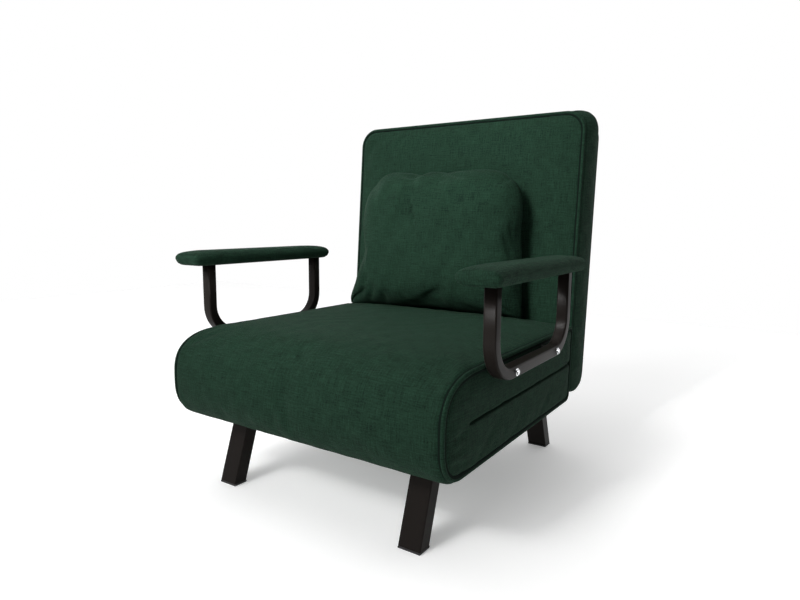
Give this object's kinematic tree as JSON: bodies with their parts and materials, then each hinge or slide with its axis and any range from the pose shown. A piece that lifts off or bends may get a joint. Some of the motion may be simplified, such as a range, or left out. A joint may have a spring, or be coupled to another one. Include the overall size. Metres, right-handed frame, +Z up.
{
  "type": "recliner",
  "caption": "Armed recliner in dark green fabric with a deep seat folded over at the front, a tall backrest on ratchet hinges, bent steel arms and a loose pillow",
  "frame": {"origin": "on the floor, under the middle of the chair's bounding box", "axes": "+X towards the sitter's left, -Y towards the front, +Z up; metres"},
  "size_m": [0.757, 0.737, 0.7979],
  "materials": {
    "fabric": "woven, linen-like",
    "enamel": "satin enamel",
    "frame_steel": "powder coat",
    "hinge_steel": "satin enamel",
    "bright_steel": "polished",
    "zinc_steel": "zinc plated",
    "wood": "plain plywood",
    "black_plastic": "fine matte",
    "cover_fabric": "thin non-woven"
  },
  "bodies": {
    "seat_base": {"seat_cushion": "fabric", "upper_rail_left": "frame_steel", "upper_rail_right": "frame_steel", "upper_cross_front": "frame_steel", "upper_cross_rear": "frame_steel", "post_front_left": "frame_steel", "post_front_right": "frame_steel", "post_rear_left": "frame_steel", "post_rear_right": "frame_steel", "lower_rail_left": "frame_steel", "lower_rail_right": "frame_steel", "lower_cross_front": "frame_steel", "lower_cross_rear": "frame_steel", "seat_slats": "wood", "dust_cover": "cover_fabric", "leg_front_left": "enamel", "leg_front_right": "enamel", "leg_rear_left": "enamel", "leg_rear_right": "enamel", "foot_caps": "black_plastic", "leg_bolts": "zinc_steel", "arm_bracket_left": "enamel", "arm_bracket_right": "enamel", "arm_plate_left": "enamel", "arm_plate_right": "enamel", "arm_board_left": "wood", "arm_board_right": "wood", "arm_pad_left": "fabric", "arm_pad_right": "fabric", "arm_bolts": "bright_steel", "arm_spacers": "black_plastic", "arm_nuts": "zinc_steel", "pad_screws": "zinc_steel", "hinge_bracket_left": "hinge_steel", "hinge_bracket_right": "hinge_steel", "hinge_bolts": "zinc_steel", "ratchet_housing_left": "hinge_steel", "ratchet_housing_right": "hinge_steel", "ratchet_pawls": "zinc_steel"},
    "backrest": {"back_cushion": "fabric", "back_stile_left": "frame_steel", "back_stile_right": "frame_steel", "back_rail_bottom": "frame_steel", "back_rail_middle": "frame_steel", "back_rail_top": "frame_steel", "back_slats": "wood", "back_lug_left": "hinge_steel", "back_lug_right": "hinge_steel", "hinge_pin_left": "zinc_steel", "hinge_pin_right": "zinc_steel", "ratchet_wheel_left": "zinc_steel", "ratchet_wheel_right": "zinc_steel", "pin_clips": "zinc_steel"},
    "pillow": {"pillow": "fabric"}
  },
  "joints": [
    {"name": "back_recline", "type": "hinge", "parent": "seat_base", "child": "backrest", "pos_m": [0, 0.26996, 0.206], "axis": [-1, 0, 0], "range_deg": [0, 85.5]},
    {"name": "pillow_lift", "type": "slide", "parent": "backrest", "child": "pillow", "axis": [0, -0.5, 0.866], "range_m": [0, 0.35]}
  ]
}
